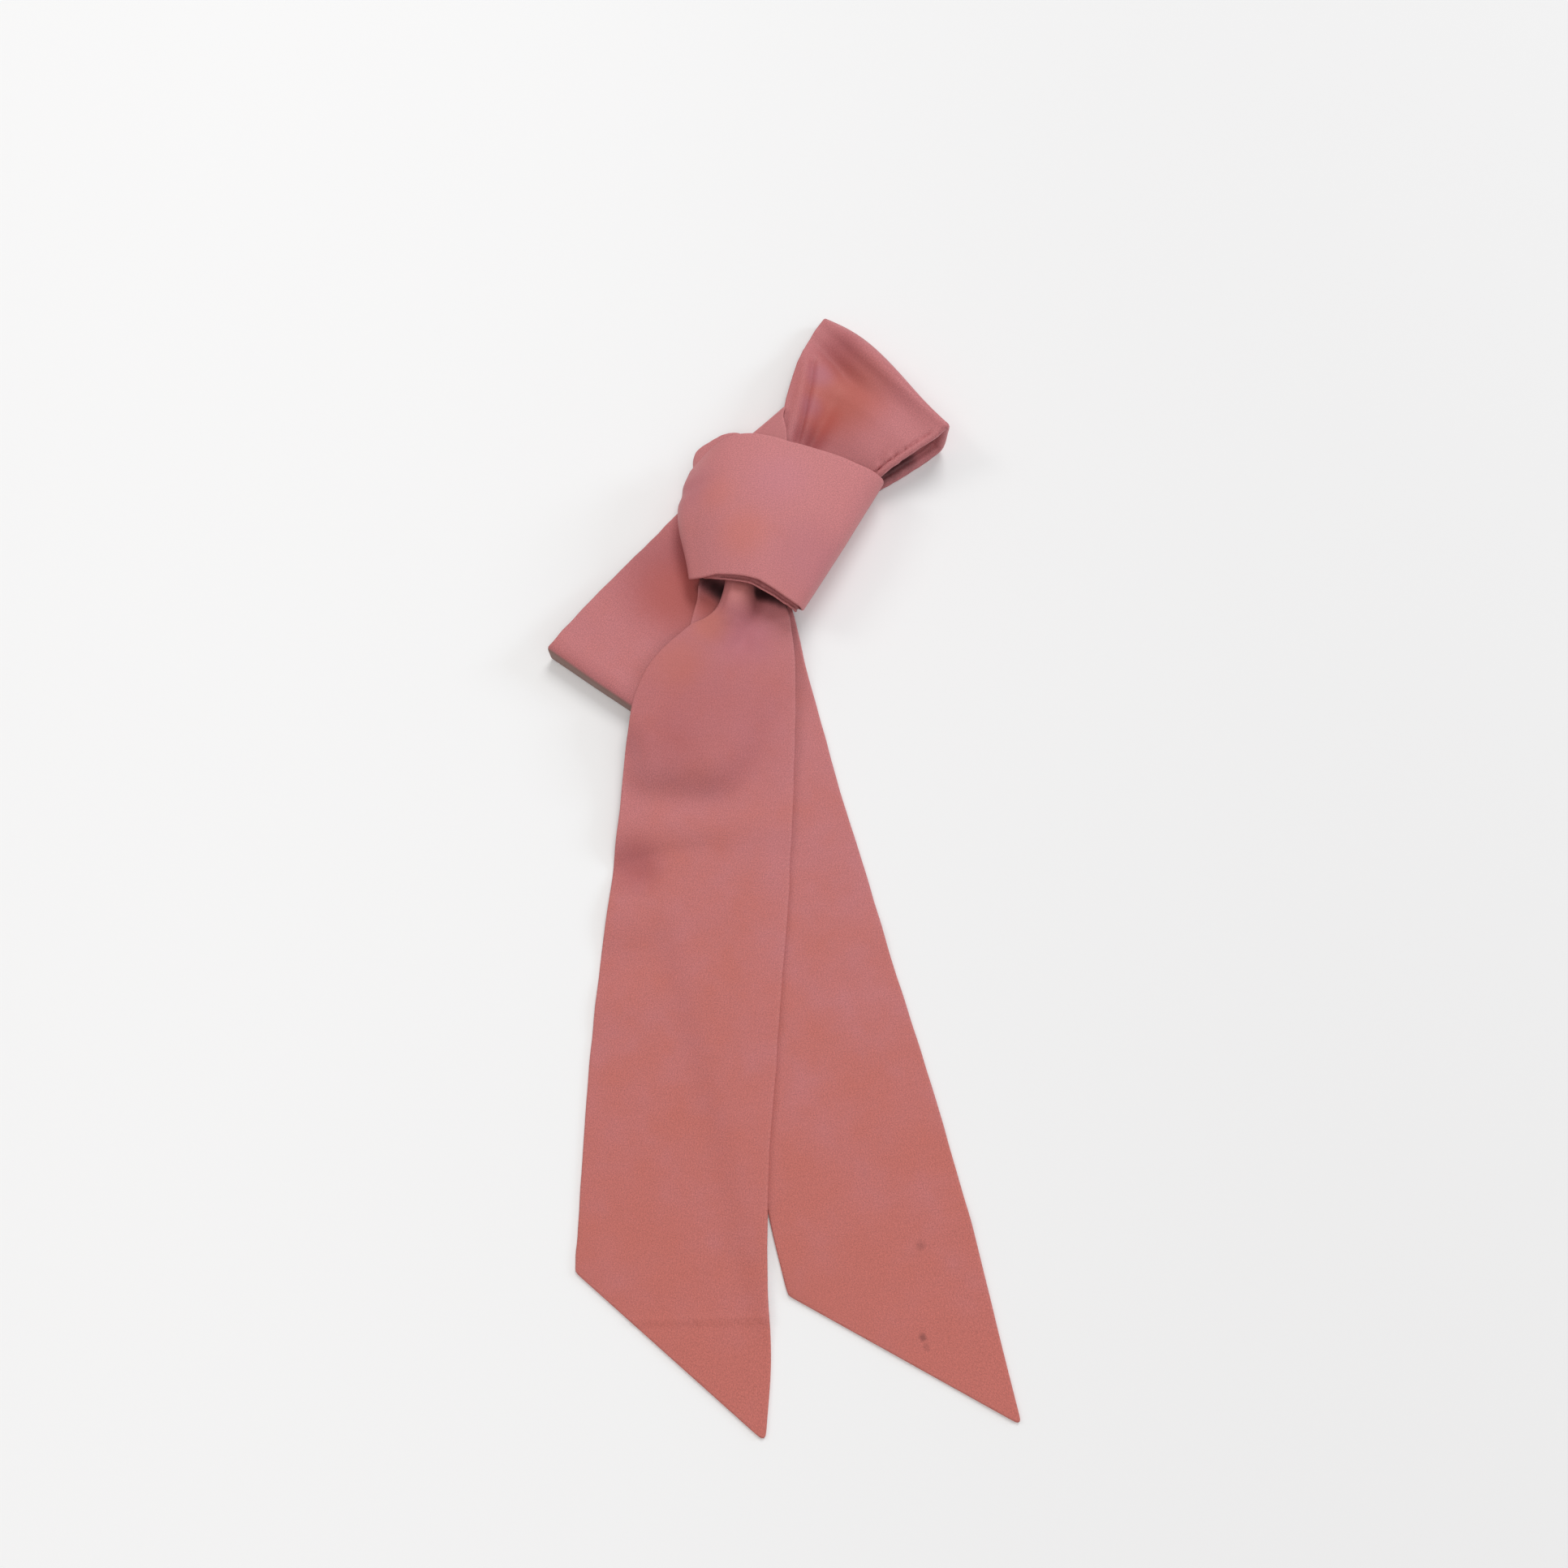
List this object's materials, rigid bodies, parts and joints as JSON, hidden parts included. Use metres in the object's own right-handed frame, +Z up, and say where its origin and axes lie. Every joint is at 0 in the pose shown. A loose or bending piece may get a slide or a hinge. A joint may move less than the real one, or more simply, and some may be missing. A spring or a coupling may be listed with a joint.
{
  "type": "neck scarf",
  "caption": "Slim crepe neck scarf tied like a necktie and laid flat, its neck ring pressed into an upper and a lower loop, with two long slanted tails.",
  "frame": {"origin": "the middle of the scarf's footprint, on the surface that it lies on", "axes": "+Y from the tails' ends towards the neck ring, +Z up from the surface, +X towards the back tail's tip"},
  "size_m": [0.1924, 0.4874, 0.0281],
  "materials": {
    "crepe": "matte"
  },
  "bodies": {
    "root": {"back_tail": "crepe", "lower_loop": "crepe", "ring_back": "crepe", "upper_loop": "crepe", "knot_inner_wrap": "crepe", "knot_front": "crepe", "top_strand": "crepe", "front_tail": "crepe", "knot_core": "crepe"}
  },
  "joints": []
}
